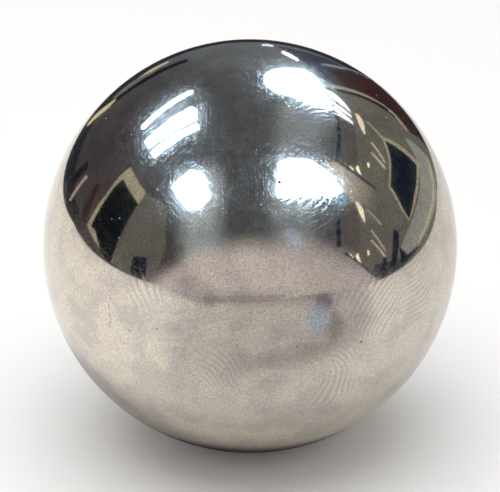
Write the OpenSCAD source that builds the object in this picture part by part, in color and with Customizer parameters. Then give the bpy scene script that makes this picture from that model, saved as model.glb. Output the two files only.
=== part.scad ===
// Polished steel ball
// One solid piece of through-hardened steel: cold headed from wire, ground between
// plates and lapped until every section through its centre is the same circle.
// All lengths are in millimetres. The origin is the centre of the ball, +Z is up,
// and the ball meets a flat surface at one point, half a diameter below the origin.

/* [Ball] */
// Diameter of the ball: 38.1 is the 1 1/2 inch stock size
ball_d = 38.1; // [5:0.1:100]

/* [Hidden] */
// Sides drawn round a great circle; the surface they stand for is a true sphere
great_circle_sides = 180;
// Polished steel, as it looks under a soft white light
steel_colour = [0.79, 0.77, 0.74];

// The whole part: a solid sphere with no flat, hole or seam
module ball() {
    color(steel_colour)
        sphere(d = ball_d, $fn = great_circle_sides);
}

ball();
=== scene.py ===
# %% [markdown]
# # A polished steel ball
#
# This lesson gives one steel ball its looks. The solid itself is already made and packed, and it
# is loaded as a frame that nothing here moves. A bare sphere with a grey colour would never pass
# for steel: what the eye reads as steel is the lights and darks that it mirrors, and the scratches,
# finger marks and pits that disturb the mirror. So most of the lesson is about those.

# %% Load the packed ball
import math

import bpy
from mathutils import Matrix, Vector


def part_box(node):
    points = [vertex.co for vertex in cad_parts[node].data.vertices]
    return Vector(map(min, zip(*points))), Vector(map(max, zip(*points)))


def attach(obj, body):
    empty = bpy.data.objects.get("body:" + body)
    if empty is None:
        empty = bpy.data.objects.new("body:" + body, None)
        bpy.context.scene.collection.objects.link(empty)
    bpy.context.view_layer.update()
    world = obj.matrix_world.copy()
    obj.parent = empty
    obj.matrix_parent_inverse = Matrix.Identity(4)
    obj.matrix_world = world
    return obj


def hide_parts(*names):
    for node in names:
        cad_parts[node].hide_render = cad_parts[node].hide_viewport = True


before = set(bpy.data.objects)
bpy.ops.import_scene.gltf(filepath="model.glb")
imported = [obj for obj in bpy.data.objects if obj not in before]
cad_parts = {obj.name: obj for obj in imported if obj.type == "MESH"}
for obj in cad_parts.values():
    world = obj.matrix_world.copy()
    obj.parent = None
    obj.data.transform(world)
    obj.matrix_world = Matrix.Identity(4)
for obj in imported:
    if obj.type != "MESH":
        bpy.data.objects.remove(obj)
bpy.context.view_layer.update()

low_corner, high_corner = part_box("ball")
ball_radius = min(high_corner - low_corner) / 2
millimetre = 0.001
print(f"the ball is {2 * ball_radius / millimetre:.2f} mm across")

# %% [markdown]
# ## The camera
#
# On the photograph the ball's outline is a circle, centred in the picture. That fixes where the camera
# looks, but not how far off it stands: a near camera with a short lens draws the same circle as a far
# one with a long lens. The distance is given, and the lens then follows from the radius of the circle.
# The height comes from the mirror image of the surface under the ball, whose horizon crosses the ball a
# little below its middle.

# %% Set the camera by the ball's outline
image_width = 500
image_height = 492
outline_radius = 207
camera_elevation = math.radians(25)
camera_distance = 11 * ball_radius

focal_pixels = outline_radius * math.sqrt((camera_distance / ball_radius) ** 2 - 1)
view_axis = Vector((0, math.cos(camera_elevation), -math.sin(camera_elevation)))
view_right = Vector((1, 0, 0))
view_up = view_right.cross(view_axis)
camera_place = -camera_distance * view_axis

bpy.ops.object.select_all(action="DESELECT")
camera_turn = view_axis.to_track_quat("-Z", "Y").to_euler()
bpy.ops.object.camera_add(location=camera_place, rotation=camera_turn)
camera = bpy.context.active_object
camera.data.lens = camera.data.sensor_width * focal_pixels / image_width
camera.data.clip_start = 0.1 * ball_radius
bpy.context.scene.camera = camera
print(f"the lens is {camera.data.lens:.0f} mm, {camera_distance / millimetre:.0f} mm from the ball")

# %% [markdown]
# ## Reading the photograph through the mirror
#
# A pixel of the photograph is a line of sight. Where the line meets the ball there is a point of
# steel, and there the line bounces off. The functions below follow a pixel to the point of steel,
# and on along the bounce, so a mark can be put on the ball, and a light round it, by where the
# photograph shows them.

# %% Follow a pixel to the ball and beyond
pixel_size = ball_radius / outline_radius


def sight_line(pixel):
    """The direction from the camera through a pixel."""
    across = (pixel[0] - image_width / 2) / focal_pixels
    upward = (image_height / 2 - pixel[1]) / focal_pixels
    return (view_axis + across * view_right + upward * view_up).normalized()


def place_on_ball(pixel):
    """The point of the ball that a pixel shows."""
    line = sight_line(pixel)
    along = camera_place.dot(line)
    reach = math.sqrt(along**2 - camera_place.length_squared + ball_radius**2)
    return camera_place - (along + reach) * line


def place_in_mirror(pixel, distance):
    """The point, so far from the ball's centre, that a pixel shows mirrored in the ball."""
    point = place_on_ball(pixel)
    bounce = sight_line(pixel).reflect(point.normalized())
    along = point.dot(bounce)
    return point + (math.sqrt(along**2 + distance**2 - point.length_squared) - along) * bounce


picture_middle = (image_width / 2, image_height / 2)
print(f"one pixel is {pixel_size / millimetre:.3f} mm on the ball")
print("the middle of the picture mirrors", place_in_mirror(picture_middle, camera_distance))

# %% [markdown]
# ## The ball's mesh
#
# The real ball is ground and lapped until it is round to a thousandth of a millimetre. A UV sphere
# would do for its outline, but its faces crowd together at two poles, which shows in a mirror. A
# cube whose edges are halved again and again, with To Sphere after each halving, gives even square
# faces all over and has no pole. Its six sides also make a tidy texture map, with one square each.

# %% Halve a cube into a sphere
halvings = 6
map_columns = 3
map_rows = 2
map_margin = 0.008

bpy.ops.object.select_all(action="DESELECT")
bpy.ops.mesh.primitive_cube_add(size=ball_radius)
ball = bpy.context.active_object
ball.name = "polished_ball"
ball.data.name = "polished_ball"

side_map = ball.data.uv_layers.active
side_map.name = "OFBake"
for side in ball.data.polygons:
    column = side.index % map_columns
    row = side.index // map_columns
    for corner, loop in enumerate(side.loop_indices):
        across = map_margin + (1 - 2 * map_margin) * (corner in (1, 2))
        upward = map_margin + (1 - 2 * map_margin) * (corner in (2, 3))
        side_map.data[loop].uv = ((column + across) / map_columns, (row + upward) / map_rows)

bpy.ops.object.mode_set(mode="EDIT")
bpy.ops.mesh.select_all(action="SELECT")
for halving in range(halvings):
    bpy.ops.mesh.subdivide(number_cuts=1)
    bpy.ops.transform.tosphere(value=1.0)
bpy.ops.object.mode_set(mode="OBJECT")
rough_radius = sum(vertex.co.length for vertex in ball.data.vertices) / len(ball.data.vertices)
bpy.ops.object.mode_set(mode="EDIT")
bpy.ops.transform.resize(value=(ball_radius / rough_radius,) * 3, center_override=(0, 0, 0))
bpy.ops.object.mode_set(mode="OBJECT")
bpy.ops.object.shade_smooth()
print(f"the ball has {len(ball.data.polygons)} faces")

# %% [markdown]
# ## Pits
#
# A ball that has been knocked about loses a crumb of steel here and there. Such a pit is only an
# eighth to a third of a millimetre wide, but it is a hole and mirrors nothing, so it shows as a black
# dot. A dark spot in the material would be flat. Here each pit is a real hole: the face under it is
# inset to the pit's width, its corners are drawn into a ring, and the ring's middle is sunk. A sharp
# rim keeps the mirror true right up to the edge. The unseen back has the same pits, turned half a turn.

# %% Sink the pits
pit_depth_ratio = 0.35
pit_wall_ratio = 0.25
front_pits = [
    # middle, in pixels, and width of each pit
    ((279.5, 183), 0.30 * millimetre),
    ((361.5, 342), 0.20 * millimetre),
    ((155.5, 328), 0.14 * millimetre),
    ((129.5, 331), 0.12 * millimetre),
]
both_sides = (Vector((1, 1, 1)), Vector((-1, -1, 1)))

pits = []
for pixel, width in front_pits:
    for turn in both_sides:
        pits.append((place_on_ball(pixel) * turn, width))

bpy.ops.object.mode_set(mode="EDIT")
bpy.ops.mesh.select_mode(type="FACE")
for number, (middle, width) in enumerate(pits):
    bpy.ops.mesh.select_all(action="DESELECT")
    bpy.ops.object.mode_set(mode="OBJECT")
    face = min(ball.data.polygons, key=lambda face: (face.center - middle).length_squared)
    face.select = True
    pits[number] = (face.center.copy(), width)
    margin = (math.sqrt(face.area) - width) / 2
    bpy.ops.object.mode_set(mode="EDIT")
    bpy.ops.mesh.inset(thickness=margin)
    bpy.ops.mesh.subdivide(number_cuts=2)
    bpy.ops.mesh.region_to_loop()
    bpy.ops.transform.tosphere(value=1.0)
    bpy.ops.mesh.mark_sharp()
    bpy.ops.mesh.loop_to_region()
    bpy.ops.mesh.select_mode(type="FACE")
    bpy.ops.mesh.inset(thickness=pit_wall_ratio * width, depth=-pit_depth_ratio * width)
bpy.ops.object.mode_set(mode="OBJECT")
print(f"{len(pits)} pits, {len(ball.data.polygons)} faces")

# %% [markdown]
# ## Shader arithmetic
#
# A finish is a sum of many small patterns. Wiring each sum by hand hides what it means, so a small
# class wraps a socket: adding or multiplying two wrapped sockets adds the Math node that does it,
# and every other kind of node comes from one method.

# %% Wrap a socket
class Wire:
    """An output socket. Arithmetic on it adds Math nodes."""

    def __init__(self, tree, socket):
        self.tree = tree
        self.socket = socket

    def node(self, kind, settings, sockets, output=0):
        """Adds a node, with its settings first and then the values or links of its sockets."""
        made = self.tree.nodes.new(kind)
        for name, value in settings.items():
            setattr(made, name, value)
        for name, value in sockets.items():
            if isinstance(value, Wire):
                self.tree.links.new(value.socket, made.inputs[name])
            else:
                made.inputs[name].default_value = value
        return Wire(self.tree, made.outputs[output])

    def math(self, operation, first, second=0.0):
        """A Math node on one or two values."""
        return self.node("ShaderNodeMath", {"operation": operation}, {0: first, 1: second})

    def __add__(self, other):
        return self.math("ADD", self, other)

    def __sub__(self, other):
        return self.math("SUBTRACT", self, other)

    def __rsub__(self, other):
        return self.math("SUBTRACT", other, self)

    def __mul__(self, other):
        return self.math("MULTIPLY", self, other)

    def __truediv__(self, other):
        return self.math("DIVIDE", self, other)

    def __rtruediv__(self, other):
        return self.math("DIVIDE", other, self)

    def __abs__(self):
        return self.math("ABSOLUTE", self)

    __radd__ = __add__
    __rmul__ = __mul__

    def most(self, other):
        """The larger of the two."""
        return self.math("MAXIMUM", self, other)

    def fade(self, start, end):
        """1 up to start, 0 past end, and a smooth step between."""
        settings = {"interpolation_type": "SMOOTHSTEP"}
        sockets = {"Value": self, "From Min": start, "From Max": end, "To Min": 1.0, "To Max": 0.0}
        return self.node("ShaderNodeMapRange", settings, sockets)

    def noise(self, size, detail=0.0):
        """Soft blotches of about this size, from 0 to 1, over a place in metres."""
        return self.node("ShaderNodeTexNoise", {}, {"Vector": self, "Scale": 1 / size, "Detail": detail})

    def local(self, place, turn, size):
        """This place as seen from another place, turned, and counted in a size along each axis."""
        sockets = {"Vector": self, "Location": place, "Rotation": turn, "Scale": size}
        return self.node("ShaderNodeMapping", {"vector_type": "TEXTURE"}, sockets)

    def away(self, point):
        """The distance of this place from a point."""
        return self.node("ShaderNodeVectorMath", {"operation": "DISTANCE"}, {0: self, 1: point}, "Value")

    def direction(self):
        """The direction of this place from the middle, with a length of 1."""
        return self.node("ShaderNodeVectorMath", {"operation": "NORMALIZE"}, {0: self}, "Vector")

    def part(self, axis):
        """This place along the axis X, Y or Z."""
        return self.node("ShaderNodeSeparateXYZ", {}, {"Vector": self}, axis)

    def blend(self, first, second):
        """The first colour where this is 0, and the second where it is 1."""
        # a Mix node's colours are its inputs 6 and 7 and its output 2
        sockets = {"Factor": self, 6: first, 7: second}
        return self.node("ShaderNodeMix", {"data_type": "RGBA"}, sockets, 2)


print("a Wire can", [name for name in vars(Wire) if not name.startswith("_")])

# %% [markdown]
# Every material begins with its Object coordinates and ends with its output, so two functions do that.

# %% Start and end a material
def start_material(name):
    """A new material and the Wire of its Object coordinates."""
    material = bpy.data.materials.new(name)
    material.use_nodes = True
    material.node_tree.nodes.clear()
    coordinates = material.node_tree.nodes.new("ShaderNodeTexCoord")
    return material, Wire(material.node_tree, coordinates.outputs["Object"])


def end_material(material, shader):
    """Shows a shader on the surface."""
    output = material.node_tree.nodes.new("ShaderNodeOutputMaterial")
    material.node_tree.links.new(shader.socket, output.inputs["Surface"])
    print(f"{material.name} has {len(material.node_tree.nodes)} nodes")


print("materials can be started and ended")

# %% [markdown]
# ## Lapping scratches
#
# Lapping rolls the ball in every direction between plates, so its scratches run every way. Each one
# is a short arc of a circle about some axis. Seen by itself a scratch hardly shows, but near a lamp's
# reflection those that lie across the line to the lamp light up, and the lamp seems to sit in a web
# of fine arcs. A noise that is stretched thin along one axis has such arcs for contours. A narrow band
# round its middle contour is one rolling direction's grooves, and a fan of such axes gives them all.

# %% Groove the steel about a fan of axes
rolling_directions = 13
groove_pitch = 0.32 * millimetre
groove_run = 3.0 * millimetre
groove_width = 0.12
groove_depth = 0.0017 * millimetre
golden_angle = math.pi * (3 - math.sqrt(5))
pattern_step = 0.1


def rolling_axis(number):
    """One of a fan of axes that covers half of all directions evenly."""
    height = (number + 0.5) / rolling_directions
    level = math.sqrt(1 - height**2)
    turn = golden_angle * number
    return Vector((level * math.cos(turn), level * math.sin(turn), height))


def lapping_grooves(place):
    """The sum of all grooves, each 1 at its bottom and 0 on the plain surface."""
    grooves = 0.0
    for number in range(rolling_directions):
        turn = Vector((1, 0, 0)).rotation_difference(rolling_axis(number)).to_euler()
        start = (pattern_step * number, 0, 0)
        streaks = place.local(start, turn, (groove_pitch, groove_run, groove_run)).noise(size=1.0)
        grooves = grooves + abs(streaks - 0.5).fade(0.0, groove_width)
    return grooves


print(f"{rolling_directions} rolling directions, grooves {groove_pitch / millimetre} mm apart")

# %% [markdown]
# ## Finger marks
#
# Whoever lifts a polished ball leaves finger marks. A finger's ridges are about half a millimetre
# apart and lie in curves round a core. The grease on them is so thin that it barely dulls the steel,
# and a mark fades out where the round ball left the fingertip. A set of rings about the core, pushed
# about by a noise and kept inside a soft patch, draws one mark: duller on the ridges, and a little
# brighter between them, where the finger wiped the steel clean. The far side was held too, so each mark
# is drawn there as well, turned half a turn.

# %% Press the finger marks
ridge_pitch = 0.48 * millimetre
ridge_sway = 2.5 * millimetre
edge_sway = 3 * millimetre
sway_size = 5 * millimetre
wear_size = 1.0 * millimetre
wear_edge = (0.25, 0.55)
mark_core = 0.45
mark_rim = 1.1
finger_marks = [
    # middle, radius and core of each mark, in pixels
    ((332, 388), 32, (290, 384)),
    ((342, 358), 22, (322, 378)),
    ((424, 288), 42, (392, 222)),
    ((380, 304), 40, (428, 338)),
    ((140, 291), 24, (62, 304)),
    ((218, 370), 30, (150, 398)),
    ((72, 276), 16, (54, 292)),
    ((310, 208), 34, (258, 156)),
    ((318, 116), 34, (272, 62)),
]


def finger_ridges(place):
    """Finger marks: up to 1 on the ridges, down to -1 between them and 0 where there is no mark."""
    sway = place.noise(sway_size, detail=1.0) - 0.5
    wear = place.noise(wear_size, detail=2.0)
    ridges = 0.0
    for middle_pixel, radius, core_pixel in finger_marks:
        for turn in both_sides:
            middle = place_on_ball(middle_pixel) * turn
            core = place_on_ball(core_pixel) * turn
            rings = (place.away(core) + ridge_sway * sway) * (2 * math.pi / ridge_pitch)
            reach = place.away(middle) + edge_sway * sway
            patch = reach.fade(mark_core * radius * pixel_size, mark_rim * radius * pixel_size)
            ridges = patch * rings.math("SINE", rings) + ridges
    return ridges * (1 - wear.fade(*wear_edge))


print(f"{len(finger_marks)} finger marks, ridges {ridge_pitch / millimetre} mm apart")

# %% [markdown]
# Two smears darken the steel's colour in soft patches. Each is drawn as all places whose distances to
# two points add up to little more than the distance between those points, which is a long oval. One
# noise pushes its rim about, and a finer one thins the darkening.

# %% Wipe the smears
smears = [
    # both ends and half the width of each smear, in pixels
    ((122, 314), (200, 332), 22),
    ((262, 412), (338, 408), 16),
]
smear_sway = 1.5
smear_sway_size = 3.5 * millimetre
smear_wear_size = 0.4 * millimetre
smear_wear_edge = (0.3, 0.7)
smear_core = -0.5
smear_rim = 2.0
smear_base = 0.25


def darker_ovals(place):
    """1 in the darker ovals and 0 past them, thinned by a fine noise."""
    sway = place.noise(smear_sway_size, detail=2.0) - 0.5
    wear = place.noise(smear_wear_size, detail=3.0)
    # the sum below is how much the ovals darken the colour
    grease = 0.0
    for start_pixel, end_pixel, half_width in smears:
        for turn in both_sides:
            start = place_on_ball(start_pixel) * turn
            end = place_on_ball(end_pixel) * turn
            length = (end - start).length
            rim = math.sqrt(length**2 + 4 * (half_width * pixel_size) ** 2) - length
            spare = place.away(start) + place.away(end) - length + smear_sway * rim * sway
            grease = spare.fade(smear_core * rim, smear_rim * rim) + grease
    return grease * (smear_base + (1 - smear_base) * (1 - wear.fade(*smear_wear_edge)))


print(f"{len(smears)} smears")

# %% [markdown]
# ## Dust and nicks
#
# Specks of dust catch the light on the dark half of the ball, and specks of dirt show on the bright
# half. A Voronoi texture scatters points through space, and those that fall within a hair of the
# surface draw specks of mixed sizes. A nick is a short scratch that is deep enough to hold dirt. It
# is drawn as all places within a hair of a line between two points.

# %% Scatter the specks
speck_spacing = 0.8 * millimetre
speck_radius = 0.065 * millimetre
speck_core = 0.6
nick_pixels = [
    # both ends, in pixels, and how much dirt each nick holds
    ((108, 302), (109.5, 310), 0.6),
    ((109, 311), (110.5, 319), 0.7),
    ((110.5, 319), (109.5, 328), 0.7),
    ((126.5, 328), (131, 332.5), 0.5),
    ((227, 338.5), (238, 341.5), 0.3),
    ((215, 394), (223, 397), 0.3),
    ((300, 411), (304, 415.5), 0.3),
]
nick_radius = 0.06 * millimetre


def specks(place, first_pick, last_pick):
    """1 on those scattered specks whose random pick lies between the two."""
    settings = {"feature": "F1"}
    sockets = {"Vector": place, "Scale": 1 / speck_spacing, "Randomness": 1.0}
    spread = place.node("ShaderNodeTexVoronoi", settings, sockets, "Distance")
    colour = place.node("ShaderNodeTexVoronoi", settings, sockets, "Color")
    pick = colour.part("X")
    chosen = pick.math("GREATER_THAN", pick, first_pick) * pick.math("LESS_THAN", pick, last_pick)
    size = speck_radius / speck_spacing
    return chosen * spread.fade(speck_core * size, size)


def nicks(place):
    """The dirt in the nicks."""
    marks = 0.0
    for start_pixel, end_pixel, dirtiness in nick_pixels:
        start = place_on_ball(start_pixel)
        end = place_on_ball(end_pixel)
        length = (end - start).length
        spare = place.away(start) + place.away(end) - length
        marks = dirtiness * spare.fade(0.0, 2 * nick_radius**2 / length) + marks
    return marks


print(f"{len(nick_pixels)} nicks, specks up to {2 * speck_radius / millimetre} mm wide")

# %% [markdown]
# ## The steel
#
# Polished steel is a metal with a slightly warm grey colour and almost no roughness. Its scratches are
# far finer than a pixel and cover only a small part of it, so the finish is a mix of two shaders: a
# sharp mirror, and a little of a scratched one that spreads a soft web of light round every lamp. A
# cloudy film of oil tints the steel in patches, grease dulls it, two soft ovals darken its colour, dirt
# in the pits and nicks is dark and no metal, and dust is pale.

# %% Colour the steel
warm_steel = (0.80, 0.742, 0.575, 1.0)
rosy_steel = (0.795, 0.700, 0.610, 1.0)
bright_steel = (0.90, 0.83, 0.71, 1.0)
greasy_steel = (0.52, 0.468, 0.43, 1.0)
darkened_steel = (0.50, 0.47, 0.435, 1.0)
dust_colour = (0.75, 0.74, 0.72, 1.0)
dirt_colour = (0.035, 0.03, 0.028, 1.0)
cloud_size = 2.6 * millimetre
mottle_size = 1.1 * millimetre
grain_size = 0.14 * millimetre
cloud_edge = (0.40, 0.68)
mottle_edge = (0.38, 0.62)
grain_edge = (0.36, 0.68)
cloud_tint = 0.45
grain_tint = 0.85
ridge_tint = 0.55
furrow_shine = 0.4
dust_picks = (0.0, 0.20)
dirt_picks = (0.95, 1.0)
pit_core = 0.45
pit_rim = 0.6

steel, place = start_material("polished_steel")
ridges = finger_ridges(place)
grease = ridges.most(0.0)
furrows = (0 - ridges).most(0.0)
clouds = place.noise(cloud_size, detail=3.0)
mottle = place.noise(mottle_size, detail=4.0)
grit = 1 - place.noise(grain_size, detail=2.0).fade(*grain_edge)
film = cloud_tint * (1 - clouds.fade(*cloud_edge)) + grain_tint * grit
dust = specks(place, *dust_picks)
dirt = specks(place, *dirt_picks).most(nicks(place))
for middle, width in pits:
    dirt = dirt.most(place.away(middle).fade(pit_core * width, pit_rim * width))

steel_mix = (1 - mottle.fade(*mottle_edge)).blend(warm_steel, rosy_steel)
steel_mix = film.blend(steel_mix, greasy_steel)
steel_mix = (ridge_tint * grease).blend(steel_mix, greasy_steel)
steel_mix = (furrow_shine * furrows).blend(steel_mix, bright_steel)
# two soft ovals darken the steel's colour
steel_mix = darker_ovals(place).blend(steel_mix, darkened_steel)
steel_mix = dust.blend(steel_mix, dust_colour)
steel_mix = dirt.blend(steel_mix, dirt_colour)
print(f"the colour takes {len(steel.node_tree.nodes)} nodes")

# %% [markdown]
# The mirror is dulled by haze, and much more on the greasy ridges, which blur a lamp's edge into fine
# stripes. The scratched shader is rougher and takes its normals from the grooves. Its share grows with
# the grooves, the grease and the gritty haze.

# %% Mix the mirror and the scratches
haze_size = 7 * millimetre
mirror_roughness = 0.04
haze_roughness = 0.03
grease_roughness = 0.14
scratched_roughness = 0.22
loose_roughness = 0.6
haze_share = 0.15
grease_share = 0.08
groove_share = 0.036
least_grooves = 0.07

haze = place.noise(haze_size, detail=3.0)
grooves = lapping_grooves(place)
loose = dust.most(dirt)
roughness = mirror_roughness + haze_roughness * haze + grease_roughness * grease
bump = place.node(
    "ShaderNodeBump",
    {},
    {"Strength": 1.0, "Distance": groove_depth, "Height": 1 - grooves},
)
surface = {"Base Color": steel_mix, "Metallic": 1 - loose}
mirror = place.node(
    "ShaderNodeBsdfPrincipled",
    {},
    {**surface, "Roughness": roughness.most(loose_roughness * loose)},
)
scratched = place.node(
    "ShaderNodeBsdfPrincipled",
    {},
    {**surface, "Roughness": (loose_roughness * loose).most(scratched_roughness), "Normal": bump},
)
share = haze_share * haze * grit + grease_share * grease
share = share + (groove_share * grooves).most(least_grooves) - least_grooves
end_material(steel, place.node("ShaderNodeMixShader", {}, {0: share, 1: mirror, 2: scratched}))
ball.data.materials.clear()
ball.data.materials.append(steel)

# %% [markdown]
# ## On its body
#
# The ball is the whole part, so it rides on the one body there is, and stands for the solid that
# collides in its place.

# %% Put the ball on its body
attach(ball, "root")
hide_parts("ball")
print(f"{ball.name} rides on root")

# %% [markdown]
# ## The sheet and its light
#
# The ball lies on a wide pale sheet, which fills the lower half of its mirror. A white surround and
# a wide lamp overhead light the sheet to just under white, and leave a soft shadow under the ball.
# In the mirror the sheet is dimmer close to the ball, in front of it and to its right. A grey gel over
# the sheet paints that dimness as shade, and only the steel sees it: a painted contact shadow round the
# ball and a painted shadow in front of it.

# %% Lay the sheet
sheet_left = -19 * ball_radius
sheet_right = 9 * ball_radius
sheet_front = -17 * ball_radius
sheet_back = 8 * ball_radius
sheet_colour = (0.98, 0.97, 0.955, 1.0)

bpy.ops.object.select_all(action="DESELECT")
bpy.ops.mesh.primitive_plane_add(size=1.0)
sheet = bpy.context.active_object
sheet.name = "pale_sheet"
sheet.scale = (sheet_right - sheet_left, sheet_back - sheet_front, 1.0)
sheet.location = ((sheet_left + sheet_right) / 2, (sheet_front + sheet_back) / 2, low_corner.z)
paper, paper_place = start_material("pale_sheet")
end_material(paper, paper_place.node("ShaderNodeBsdfDiffuse", {}, {"Color": sheet_colour}))
sheet.data.materials.append(paper)

# %% [markdown]
# From other sides the camera would see where the sheet ends. A wider one just under it fills the
# picture there, and stays out of the mirror.

# %% Lay a wider sheet under it
wide_sheet_size = 80 * ball_radius
sheet_step = 0.02 * ball_radius

bpy.ops.object.select_all(action="DESELECT")
bpy.ops.mesh.primitive_plane_add(size=wide_sheet_size, location=(0, 0, low_corner.z - sheet_step))
wide_sheet = bpy.context.active_object
wide_sheet.name = "wide_sheet"
wide_sheet.visible_glossy = False
wide_sheet.data.materials.append(paper)
print(f"the sheet is {wide_sheet_size:.2f} m wide")

# %% [markdown]
# The lamp is wider than its height above the sheet, so the shadow has no edge. Its own image stays out
# of the mirror, where only smaller lights show.

# %% Light the sheet
lamp_place = Vector((-3, -2, 26)) * ball_radius
lamp_width = 34 * ball_radius
lamp_power = 1.85

bpy.ops.object.select_all(action="DESELECT")
bpy.ops.object.light_add(type="AREA", location=lamp_place)
overhead = bpy.context.active_object
overhead.name = "overhead_lamp"
overhead.data.shape = "DISK"
overhead.data.size = lamp_width
overhead.data.energy = lamp_power
overhead.visible_glossy = False
overhead.visible_camera = False
print(f"{overhead.name} gives {lamp_power} W")

# %% [markdown]
# Its grey is painted shade in six soft patches, with distances counted in ball radii: to the right, in
# front, far in front, along two arcs, behind, and at the point where the ball touches the sheet. Those
# close to the ball and behind it are a painted contact shadow, and the others are a painted shadow in
# front of the ball. A noise wavers some of their edges.

# %% Lay the gel
gel_lift = 0.01


def show_only_mirrored(thing):
    """Lets the steel mirror a thing that neither shows in the picture nor lights anything else."""
    thing.visible_camera = False
    thing.visible_diffuse = False
    thing.visible_shadow = False


bpy.ops.object.select_all(action="DESELECT")
bpy.ops.mesh.primitive_plane_add(size=1.0)
shadow_gel = bpy.context.active_object
shadow_gel.name = "painted_shadow_gel"
for vertex in shadow_gel.data.vertices:
    vertex.co = sheet.matrix_basis @ vertex.co + Vector((0, 0, gel_lift * ball_radius))
show_only_mirrored(shadow_gel)
print(f"{shadow_gel.name} lies {gel_lift * ball_radius / millimetre:.2f} mm over the sheet")

# %% [markdown]
# Each patch has a soft edge, given by where it begins to fade and where it has gone. Left and right
# edges in front of the ball are slopes, sideways over forward, so they fan out from under the ball.

# %% Shade the gel
# how dark each patch of painted shadow is, and where its edges lie
right_side_shadow_dimming = 0.17
right_side_start = (-1.6, -0.3)
right_side_ring = (0.65, 0.95)
front_shadow_dimming = 0.31
front_depth = (-2.0, -0.8)
front_left_slope = (0.45, 1.0)
front_right_slope = (-2.2, -1.2)
far_shadow_dimming = 0.22
far_depth = (-13, -7)
arc_shadow_dimming = 0.28
front_arc_depth = -2.05
front_arc_width = 0.55
front_arc_left = (-0.7, 0.4)
front_arc_right = (1.0, 1.9)
right_arc_slope = -0.77
right_arc_width = 0.32
right_arc_depth = (-2.2, -1.4)
rear_shadow_dimming = 0.38
rear_shadow_ring = (0.6, 1.0)
contact_shadow_dimming = 0.75
contact_shadow_ring = (0.40, 0.58)
waver_size = 0.7
slope_waver = 0.5
arc_waver = 0.9
deepest_painted_shadow = (0.02, 0, 0.05, 1)
no_painted_shadow = (1, 1, 1, 1)

gel_level = gel_lift - 1
contact_point = (0, 0, gel_level)
rear_shadow_middle = (-0.45, 0.25, gel_level)

painted_shadow_material, spot = start_material("painted_shadow_gel")
spot = spot.local((0, 0, 0), (0, 0, 0), (ball_radius,) * 3)
sideways = spot.part("X")
forward = spot.part("Y")
waver = spot.noise(waver_size, detail=2.0) - 0.5
slope = sideways / forward + slope_waver * waver
spread = spot.away(contact_point)
right_side = (1 - sideways.fade(*right_side_start)) * (1 - spread.fade(*right_side_ring))
front = forward.fade(*front_depth) * slope.fade(*front_left_slope) * (1 - slope.fade(*front_right_slope))
front_arc = abs(forward - front_arc_depth + arc_waver * waver).fade(0.0, front_arc_width)
front_arc = front_arc * (1 - sideways.fade(*front_arc_left)) * sideways.fade(*front_arc_right)
right_arc = abs(slope - right_arc_slope).fade(0.0, right_arc_width) * forward.fade(*right_arc_depth)

# each patch multiplies in its painted shade: near, behind and at the touching point it is the painted
# contact shadow, and the front, far and arc patches are the painted shadow in front
passed = 1.0
for dimming, patch in (
    (right_side_shadow_dimming, right_side),
    (front_shadow_dimming, front),
    (far_shadow_dimming, forward.fade(*far_depth)),
    (arc_shadow_dimming, front_arc.most(right_arc)),
    (rear_shadow_dimming, spot.away(rear_shadow_middle).fade(*rear_shadow_ring)),
    (contact_shadow_dimming, spread.fade(*contact_shadow_ring)),
):
    passed = passed * (1 - dimming * patch)
painted_shadow_colour = passed.blend(deepest_painted_shadow, no_painted_shadow)
end_material(painted_shadow_material, spot.node("ShaderNodeBsdfTransparent", {}, {"Color": painted_shadow_colour}))
shadow_gel.data.materials.append(painted_shadow_material)

# %% [markdown]
# ## Lights and cards for the mirror
#
# The upper half of the ball is dark, with a few bright lights in it. In a studio that is done with
# cards: each card is a flat shape that glows evenly, hung where the photograph shows its mirror image.
# The steel keeps only a part of the light, so a card glows brighter than the tone that is read off the
# photograph, by the share that the steel takes. A card that fades out is clear where it doesn't glow.
# Only the steel sees the cards.

# %% Hang a card by its mirror image
near_distance = 2.2 * ball_radius
light_distance = 22 * ball_radius
frame_distance = 25 * ball_radius
panel_distance = 32 * ball_radius
far_distance = 40 * ball_radius
kept_share = (0.73, 0.67, 0.57)
top_level = 255
display_offset = 0.055
display_power = 2.4


def make_polygon(name, corners):
    """A flat face through the corners, made of a filled circle with as many points."""
    bpy.ops.object.select_all(action="DESELECT")
    bpy.ops.mesh.primitive_circle_add(vertices=len(corners), fill_type="NGON")
    face = bpy.context.active_object
    face.name = name
    for vertex, corner in zip(face.data.vertices, corners):
        vertex.co = corner
    return face


def light_of(level):
    """The light that a level of up to 255 in a picture stands for."""
    return ((level / top_level + display_offset) / (1 + display_offset)) ** display_power


def hang_card(name, corners, tone, strength=1.0, distance=light_distance, falloff=None):
    """A glowing card whose mirror image has these corners, in pixels, and this tone, up to 255."""
    card = make_polygon(name, [place_in_mirror(corner, distance) for corner in corners])
    show_only_mirrored(card)
    colour = [light_of(level) / kept for level, kept in zip(tone, kept_share)]
    glow, start = start_material(name)
    shader = start.node("ShaderNodeEmission", {}, {"Color": (*colour, 1.0), "Strength": strength})
    if falloff:
        clear = start.node("ShaderNodeBsdfTransparent", {}, {})
        shader = start.node("ShaderNodeMixShader", {}, {0: falloff(start), 1: clear, 2: shader})
    end_material(glow, shader)
    card.data.materials.append(glow)


print(f"lights hang {light_distance / millimetre:.0f} mm away")

# %% [markdown]
# The six large lights are far brighter than white, so they clip, and their glow on the film shows.

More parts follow.
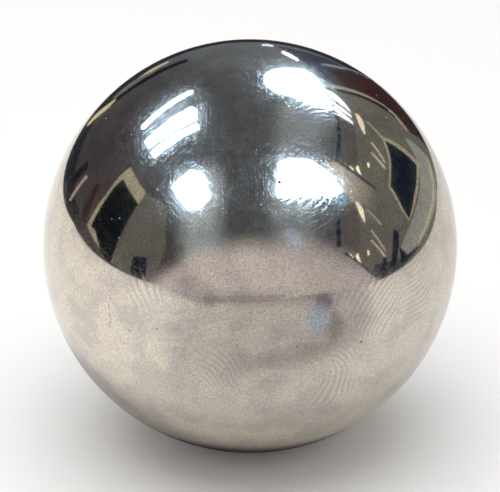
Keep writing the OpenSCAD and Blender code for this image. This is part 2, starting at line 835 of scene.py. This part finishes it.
# %% Hang the lights
cool_white = (210, 239, 255)
large_strength = 17
large_lights = {
    "thin_strip_light": [(141.5, 127), (144, 129), (192.5, 93), (191, 90.5)],
    "wide_strip_light": [(145, 142), (191, 107.5), (196, 109.5), (196.5, 119), (150, 148)],
    "third_strip_light": [(151, 152.5), (154.5, 157.5), (198.5, 129), (197.5, 124)],
    "square_light": [(172, 187), (191, 170), (203, 174), (210, 197), (200, 208), (188, 210)],
    "top_light": [
        (265, 75), (273, 70), (288, 68.5), (304, 70), (313, 75), (321, 86), (329, 103), (329, 109),
        (316, 106), (297, 98), (276, 92), (265, 84),
    ],
    "right_light": [
        (279, 162), (297, 159), (310, 160), (321, 168), (342, 190), (336, 195), (281, 197), (277, 195),
    ],
}

for name, corners in large_lights.items():
    hang_card(name, corners, cool_white, large_strength)

# %% [markdown]
# The small lights are three slats beside the top light, two strips low behind the ball, and two
# groups of warm strips to the right, one below the other.

# %% Hang the slats and rear strips
plain_white = (250, 250, 250)
upper_slat = [(325, 90), (331, 91), (341, 99), (350, 110), (351, 113), (338, 102.5), (329.5, 96.5)]
middle_slat = [(330, 99), (338, 105), (351, 115), (352, 118), (340, 110), (332, 103.5)]
lower_slat = [(333, 106), (341, 111.5), (352, 121), (354, 125), (346, 120), (336, 114)]
rear_strip = [(262, 44), (268, 44), (273.5, 45.5), (273, 47), (267, 46), (262, 46)]
rear_right_strip = [(282, 50.5), (290, 53.5), (299, 59.5), (297.5, 61.5), (289, 57), (282, 53.5)]

for name, corners, strength in (
    ("upper_slat", upper_slat, 1.5),
    ("middle_slat", middle_slat, 1.5),
    ("lower_slat", lower_slat, 1.5),
    ("rear_strip", rear_strip, 0.9),
    ("rear_right_strip", rear_right_strip, 1.6),
):
    hang_card(name, corners, plain_white, strength)

# %% [markdown]
# Both groups of warm strips are the same, so one list of shapes is hung twice.

# %% Hang the warm strips
warm_white = (240, 225, 190)
lower_group = 88
bent_strip = [
    (355, 113), (359, 115), (363, 121), (365.5, 134.5), (363.5, 133.5), (360, 126.5), (357, 119),
]
slant_strip = [(366, 121.5), (367.5, 121.5), (382, 136.5), (381, 137.5)]
pair_strip = [(370, 142), (372, 142), (386, 163), (384, 162)]
low_pair_strip = [(370, 152), (372, 152), (386, 168), (384, 169)]
low_spot = [(355.5, 168), (358, 165), (359.5, 170), (361.5, 175), (358, 172.5)]
high_spot = [(367, 163), (369, 162.5), (369.5, 167), (368, 167.5)]
left_spot = [(349, 166), (350.5, 166), (354, 169.5), (353, 170.5)]

for group, drop in (("upper", 0), ("lower", lower_group)):
    for name, corners, strength in (
        ("bent_strip", bent_strip, 1.2),
        ("slant_strip", slant_strip, 0.5),
        ("pair_strip", pair_strip, 0.6),
        ("low_pair_strip", low_pair_strip, 0.6),
        ("low_spot", low_spot, 1.5),
        ("high_spot", high_spot, 1.5),
        ("left_spot", left_spot, 1.5),
    ):
        hang_card(f"{group}_{name}", [(x, y + drop) for x, y in corners], warm_white, strength)

# %% [markdown]
# Dark flags give the mirror its deepest blacks. Pale frames hang a little behind them and show as
# bright edges.

# %% Hang the flags and frames
pale_tan = (160, 150, 122)
near_black = (2, 8, 13)
blue_black = (10, 20, 34)
slate = (50, 51, 60)
soft_slate = (52, 54, 62)
left_flag = [
    (123.3, 179), (138.5, 204), (125.5, 226), (117, 244.5), (113, 257), (111, 263), (105, 260),
    (101, 252), (95.5, 231), (91, 226), (105, 200.5), (114, 187.5),
]
left_frame = [(130.5, 167), (146, 193), (138, 204.5), (112, 263), (87, 225.5), (106, 194.5), (120, 176)]
dark_square = [(133.5, 256), (147, 257.5), (146.5, 283), (129.5, 274)]
right_flag = [
    (385, 140.5), (416.5, 165), (416.5, 180), (414, 197), (409, 219), (403, 209), (390.5, 186),
    (391, 176), (390.5, 158),
]
right_frame = [
    (381, 136), (389, 139), (418.5, 162.5), (418.5, 180), (416, 198), (409, 221), (401, 209),
    (388.5, 187), (389, 176), (388.5, 160),
]
rear_flag = [
    (276, 46), (300, 51), (322, 57), (346, 68), (340, 84), (330, 80), (318, 72), (303, 62), (290, 54),
]
low_flag = [(393, 229), (398.5, 231), (399, 243), (395, 267), (389.5, 271), (392.5, 246)]
low_corner_flag = [(399, 246), (408, 255), (417.5, 245), (417, 249), (408, 260), (401, 262)]
low_side_flag = [(380.5, 270), (383.5, 257), (387, 258), (386, 271), (384, 276)]
low_shade = [
    (375, 264), (390, 262), (402, 258), (415, 248), (407, 262), (392, 274), (381, 281), (372, 275),
]

hang_card("left_flag", left_flag, near_black)
hang_card("left_frame", left_frame, pale_tan, distance=frame_distance)
hang_card("dark_square", dark_square, blue_black)
hang_card("right_flag", right_flag, blue_black)
hang_card("right_frame", right_frame, pale_tan, distance=frame_distance)
hang_card("rear_flag", rear_flag, slate, distance=frame_distance)
hang_card("low_flag", low_flag, blue_black)
hang_card("low_corner_flag", low_corner_flag, blue_black)
hang_card("low_side_flag", low_side_flag, blue_black)
hang_card("low_shade", low_shade, soft_slate, distance=frame_distance)

# %% [markdown]
# Dull cards fill what lies between the flags, one on the left and several on the right. Most of them
# hang farther off.

# %% Hang the dull cards
dull_tan = (104, 100, 90)
brown = (54, 31, 28)
inner_brown = (82, 75, 71)
outer_grey = (138, 136, 126)
cool_grey = (92, 114, 132)
left_card = [
    (137, 203), (146, 193), (166, 205), (166, 245), (160, 264), (150, 284), (130, 276), (112, 262),
]
right_card = [
    (330, 89), (345, 90), (372, 98), (391, 110), (412, 130), (432, 157), (439, 187), (436, 220),
    (427, 240), (412, 260), (395, 273), (380, 285), (360, 268), (340, 255), (339, 240), (338, 215),
    (337.5, 190), (337, 165), (336.5, 140), (337, 113),
]
inner_panel = [
    (339, 112), (352, 120), (356, 140), (358, 165), (358, 205), (360, 235), (357, 262), (341, 253),
    (340, 215), (339, 165),
]
outer_panel = [
    (404, 137), (416, 145), (428, 158), (435, 178), (436, 198), (431, 220), (424, 236), (414, 251),
    (404, 260), (399, 252), (405, 236), (411, 222), (418, 200), (420, 178), (418, 162),
]
brown_card = [
    (322, 77), (330, 71.5), (340, 69.5), (352, 70.5), (365, 76.5), (387, 93.5), (402, 110.5),
    (415, 129.5), (419, 138), (412, 134), (404, 124), (394, 113), (381, 103), (363, 93.5), (345, 87),
    (330, 84),
]
cool_card = [(333, 198), (345, 192), (349, 201), (340, 209)]
rim_band = [
    (427, 155), (431.5, 170), (434, 182), (434.5, 195), (433, 205), (430, 217), (424, 233), (417, 244),
    (422, 232), (428, 216), (431, 204), (432.5, 195), (432, 183), (430, 172),
]

hang_card("left_card", left_card, dull_tan, strength=0.75, distance=far_distance)
hang_card("right_card", right_card, dull_tan, strength=0.85, distance=far_distance)
hang_card("inner_panel", inner_panel, inner_brown, distance=panel_distance)
hang_card("outer_panel", outer_panel, outer_grey, distance=panel_distance)
hang_card("brown_card", brown_card, brown)
hang_card("cool_card", cool_card, cool_grey)
hang_card("rim_band", rim_band, pale_tan, strength=1.2)

# %% [markdown]
# Thin strips of card draw the lines along the edges of those cards.

# %% Draw the lines
mid_grey = (130, 132, 132)
grey_line = [
    (321, 63.5), (339.5, 66.5), (355, 71), (369, 78.5), (368, 80), (354, 73), (339, 68.5), (321, 65.5),
]
under_line = [
    (325, 88.5), (348, 91.5), (372.5, 99.5), (390, 110.5), (400, 120), (399, 121.5), (389, 113),
    (372, 102.5), (348, 94), (326, 90.5),
]
pale_line = [
    (322, 84), (341, 87), (363, 93.5), (381, 103), (394, 113), (408, 131), (407, 131.5), (393, 115),
    (380.5, 105), (362.5, 95.5), (341, 89), (322, 86.5),
]
dark_line = [
    (325, 88.5), (333.5, 109), (336, 117), (334.5, 160), (339.5, 161), (339, 117), (333.5, 108),
]
low_dark_line = [(335.5, 217), (340, 217), (341, 247), (336.5, 247)]

hang_card("pale_line", pale_line, pale_tan)
hang_card("grey_line", grey_line, mid_grey)
hang_card("under_line", under_line, blue_black)
hang_card("dark_line", dark_line, blue_black)
hang_card("low_dark_line", low_dark_line, blue_black)

# %% [markdown]
# A tan card beside the right light glows most next to it and fades out away from it. A dark strip
# ends it at the top.

# %% Hang the tan card
warm_tan = (176, 165, 142)
tan_card = [
    (322, 163), (336, 161.5), (349, 169.5), (361, 178.5), (374, 188), (386, 198), (374, 208),
    (352, 203), (341, 192), (330, 180),
]
tan_edge = [
    (337, 160.5), (350, 168.5), (362, 177.5), (376, 188), (375, 189.5), (361, 179.5), (349, 170.5),
    (337, 162.5),
]
tan_middle = place_in_mirror((336, 178), frame_distance)
tan_reach = (place_in_mirror((382, 200), frame_distance) - tan_middle).length


def tan_falloff(place):
    """1 beside the right light, and less away from it."""
    return place.away(tan_middle).fade(0.0, tan_reach)


hang_card("tan_card", tan_card, warm_tan, distance=frame_distance, falloff=tan_falloff)
hang_card("tan_edge", tan_edge, blue_black)

# %% [markdown]
# A rounded card low in front fills the middle of the ball. It glows less past its arched top, at its
# foot and to the right, so it has no hard edge; the dimming at its foot is painted shade along a crease.
# The arch is a cubic curve in the directions that the ball mirrors, laid through the crown and the left
# end. A dark strip ends the card on the right.

# %% Hang the front card
front_tone = (187, 175, 165)
crease_shade_dimming = 0.26
right_dimming = 0.22
front_card = [
    (138, 292), (145, 270), (160, 255), (185, 244), (205, 236), (230, 230), (262, 227), (300, 227),
    (330, 230), (341, 236), (351, 249), (362, 263), (380, 284), (384, 292), (340, 300), (190, 300),
]
front_edge = [
    (345, 252), (353, 257), (363, 264.5), (374, 275), (372.5, 276), (362, 266.5), (352, 259),
    (344, 254),
]


def front_direction(pixel):
    """The direction in which a pixel's mirror image lies, seen from the ball's centre."""
    return place_in_mirror(pixel, frame_distance).normalized()


front_crown = front_direction((259, 246))
front_left = front_direction((160, 279))
front_arch = (front_crown.z - front_left.z) / (front_crown.x - front_left.x) ** 3
front_top = front_direction((259, 230)).z
front_upper = front_direction((259, 259)).z
front_lower = front_direction((259, 284)).z
front_foot = front_direction((259, 295)).z
crease_start = front_direction((178, 290)).x
crease_left = front_direction((212, 290)).x
front_dull = front_direction((285, 290)).x
front_dark = front_direction((320, 290)).x


def front_falloff(place):
    """1 in the middle of the front card, and less past its arched top, at its foot, where painted shade
    lies along the crease, and to the right.
    """
    direction = place.direction()
    height = direction.part("Z")
    sideways = direction.part("X")
    apart = abs(sideways - front_crown.x)
    arched = (height + front_arch * apart * apart * apart).fade(front_upper, front_top)
    left_part = sideways.fade(front_dull, front_dark)
    # painted shade: the crease darkens the card's foot
    crease_shade = (1 - sideways.fade(crease_start, crease_left)) * left_part
    foot_shade = height.fade(front_foot, front_lower) * crease_shade
    return arched * (1 - crease_shade_dimming * foot_shade) * (1 - right_dimming * (1 - left_part))


hang_card("front_card", front_card, front_tone, distance=frame_distance, falloff=front_falloff)
hang_card("front_edge", front_edge, blue_black)

# %% [markdown]
# The front card's folds are soft strokes, hung close to the ball: most are painted shade in its folds
# and along its crease, and two are pale patches. Each is a long oval that covers a part of what lies
# behind it, most along its middle and nothing at its rim.

# %% Fold the front card
stroke_corners = 16
stroke_margin = 1.1
strokes = [
    # name, both ends and half the width in pixels, tone, and the share that it covers
    ("low_cool_card", (315, 310), (319, 325), 19, (148, 157, 166), 0.9),
    # the next five strokes are painted shade in the front card's folds and crease
    ("left_fold_shade", (184, 280), (211, 299), 17, (112, 106, 112), 0.36),
    ("left_blot_shade", (207, 299), (216, 300), 11, (104, 98, 102), 0.36),
    ("front_crease_shade", (204, 298), (286, 296), 4.5, (104, 94, 98), 0.40),
    ("dark_fold_shade", (319, 297), (330, 303), 10, (84, 78, 80), 0.6),
    ("right_fold_shade", (333, 314), (338, 334), 12, (96, 92, 86), 0.42),
    ("blue_patch", (288, 232), (299, 245), 11, (164, 168, 182), 0.75),
    ("left_shade", (167, 263), (181, 249), 13, (64, 60, 60), 0.5),
]


def hang_stroke(name, start, end, half_width, tone, cover):
    """A card whose mirror image is a soft stroke between two pixels."""
    along = Vector(end) - Vector(start)
    middle = Vector(start) + along / 2
    half_length = along.length / 2 + half_width
    along.normalize()
    across = Vector((-along.y, along.x))
    corners = []
    for number in range(stroke_corners):
        turn = 2 * math.pi * number / stroke_corners
        corner = half_length * math.cos(turn) * along + half_width * math.sin(turn) * across
        corners.append(middle + stroke_margin * corner)
    start_place = place_in_mirror(start, near_distance)
    end_place = place_in_mirror(end, near_distance)
    side_place = place_in_mirror(middle + half_width * across, near_distance)
    length = (end_place - start_place).length
    rim = (side_place - start_place).length + (side_place - end_place).length - length

    def falloff(place):
        return cover * (place.away(start_place) + place.away(end_place) - length).fade(0.0, rim)

    hang_card(name, corners, tone, distance=near_distance, falloff=falloff)


for stroke in strokes:
    hang_stroke(*stroke)

# %% [markdown]
# A few thin streaks run along the left rim.

# %% Streak the left rim
peach = (190, 165, 135)
olive = (100, 105, 90)
ink = (14, 16, 22)
straw = (196, 180, 140)
sand = (170, 152, 128)
charcoal = (24, 24, 32)
upper_rim_streak = [(168, 61), (169, 62.5), (150, 72.5), (136, 82), (135, 81), (149, 70.5)]
green_rim_streak = [(158, 69), (153, 73), (130, 88), (114, 99), (113, 97.5), (129, 84)]
dark_rim_line = [
    (187, 59), (188, 61.5), (161, 73), (141, 84.5), (121, 98), (105, 111.5), (104, 109.5), (119, 95.5),
    (139, 81.5), (160, 69.5),
]
rim_streak = [
    (119, 97), (120, 98.5), (109, 108), (97, 117.5), (88, 126), (87, 124.5), (95.5, 114.5), (107, 105),
]
low_rim_streak = [(86, 175), (88, 177), (71, 201), (68.5, 200.5), (77, 187)]
dark_rim_streak = [(88, 160), (88, 168), (70, 192), (66, 188), (76, 172)]
brown_streak = [(97, 183), (101, 185), (86, 222), (79, 222), (88, 198)]

hang_card("upper_rim_streak", upper_rim_streak, peach)
hang_card("green_rim_streak", green_rim_streak, olive)
hang_card("dark_rim_line", dark_rim_line, ink)
hang_card("rim_streak", rim_streak, straw)
hang_card("low_rim_streak", low_rim_streak, sand)
hang_card("dark_rim_streak", dark_rim_streak, charcoal)
hang_card("brown_streak", brown_streak, brown)

# %% [markdown]
# ## The drape
#
# A large dark drape encloses everything and gives the mirror its charcoal grey. It is not lit but glows
# faintly, so its colour is painted light that stands for what a lit drape would give back. Two paler
# curtains are part of it, one on either side of the camera, with edges so soft that they are painted as
# a gradient. Low behind the ball it is nearly black, which draws a dark line along the upper rim. Only
# the steel sees the drape. The camera looks past it at a white surround.

# %% Close the drape
drape_distance = 48 * ball_radius

bpy.ops.object.select_all(action="DESELECT")
bpy.ops.mesh.primitive_ico_sphere_add(subdivisions=4, radius=drape_distance)
drape = bpy.context.active_object
drape.name = "dark_drape"
show_only_mirrored(drape)
print(f"{drape.name} hangs {drape_distance / millimetre:.0f} mm away")

# %% [markdown]
# The drape's colours go by direction from the ball: sideways to the right, forward away from the
# camera, and upward.

# %% Colour the drape
drape_colour = (0.092, 0.099, 0.112, 1.0)
left_drape_colour = (0.070, 0.063, 0.072, 1.0)
left_side_edge = (-0.65, -0.30)
rear_drape_colour = (0.15, 0.17, 0.195, 1.0)
rear_depth = (0.55, 0.85)
rear_left_edge = (-0.35, -0.10)
right_curtain_colour = (0.265, 0.305, 0.345, 1.0)
right_curtain_middle = 0.375
right_curtain_edge = (0.06, 0.27)
right_curtain_depth = (0.3, 0.6)
left_curtain_colour = (0.38, 0.45, 0.50, 1.0)
left_curtain_middle = -0.43
left_curtain_edge = (0.05, 0.27)
left_curtain_depth = (-0.45, -0.2)
hem_colour = (0.02, 0.024, 0.032, 1.0)
hem_height = (0.0, 0.04)
hem_depth = (0.2, 0.4)

drape_glow, around = start_material("dark_drape")
direction = around.direction()
sideways = direction.part("X")
forward = direction.part("Y")
upward = direction.part("Z")
left_side = sideways.fade(*left_side_edge)
rear_side = (1 - forward.fade(*rear_depth)) * (1 - sideways.fade(*rear_left_edge))
right_curtain = abs(sideways - right_curtain_middle).fade(*right_curtain_edge)
right_curtain = right_curtain * forward.fade(*right_curtain_depth)
left_curtain = abs(sideways - left_curtain_middle).fade(*left_curtain_edge)
left_curtain = left_curtain * forward.fade(*left_curtain_depth)
hem = upward.fade(*hem_height) * (1 - forward.fade(*hem_depth))
drape_mix = left_side.blend(drape_colour, left_drape_colour)
drape_mix = rear_side.blend(drape_mix, rear_drape_colour)
drape_mix = right_curtain.blend(drape_mix, right_curtain_colour)
drape_mix = left_curtain.blend(drape_mix, left_curtain_colour)
drape_mix = hem.blend(drape_mix, hem_colour)
# the drape glows: painted light in place of the light that it would return
end_material(drape_glow, around.node("ShaderNodeEmission", {}, {"Color": drape_mix, "Strength": 1.0}))
drape.data.materials.append(drape_glow)

# %% [markdown]
# The white surround lights the sheet from all sides and shares that work with the lamp, so by itself
# it is only about half as bright as white. The camera sees it as full white past the sheet.

# %% Surround the scene with white
surround_light = 0.55

world = bpy.data.worlds.new("white_surround")
world.use_nodes = True
background = world.node_tree.nodes["Background"]
background.inputs["Color"].default_value = (1, 1, 1, 1)
light_path = world.node_tree.nodes.new("ShaderNodeLightPath")
seen = Wire(world.node_tree, light_path.outputs["Is Camera Ray"])
seen = seen.most(Wire(world.node_tree, light_path.outputs["Is Glossy Ray"]))
seen = seen.most(Wire(world.node_tree, light_path.outputs["Is Transmission Ray"]))
brightness = surround_light + (1 - surround_light) * seen
world.node_tree.links.new(brightness.socket, background.inputs["Strength"])
bpy.context.scene.world = world
bpy.context.scene.view_settings.view_transform = "Standard"
print(f"the surround lights the sheet with {surround_light}")

# %% [markdown]
# ## Sizes
#
# The dressed ball must be as big as the solid, so its radius is taken from the solid's box.

# %% [markdown]
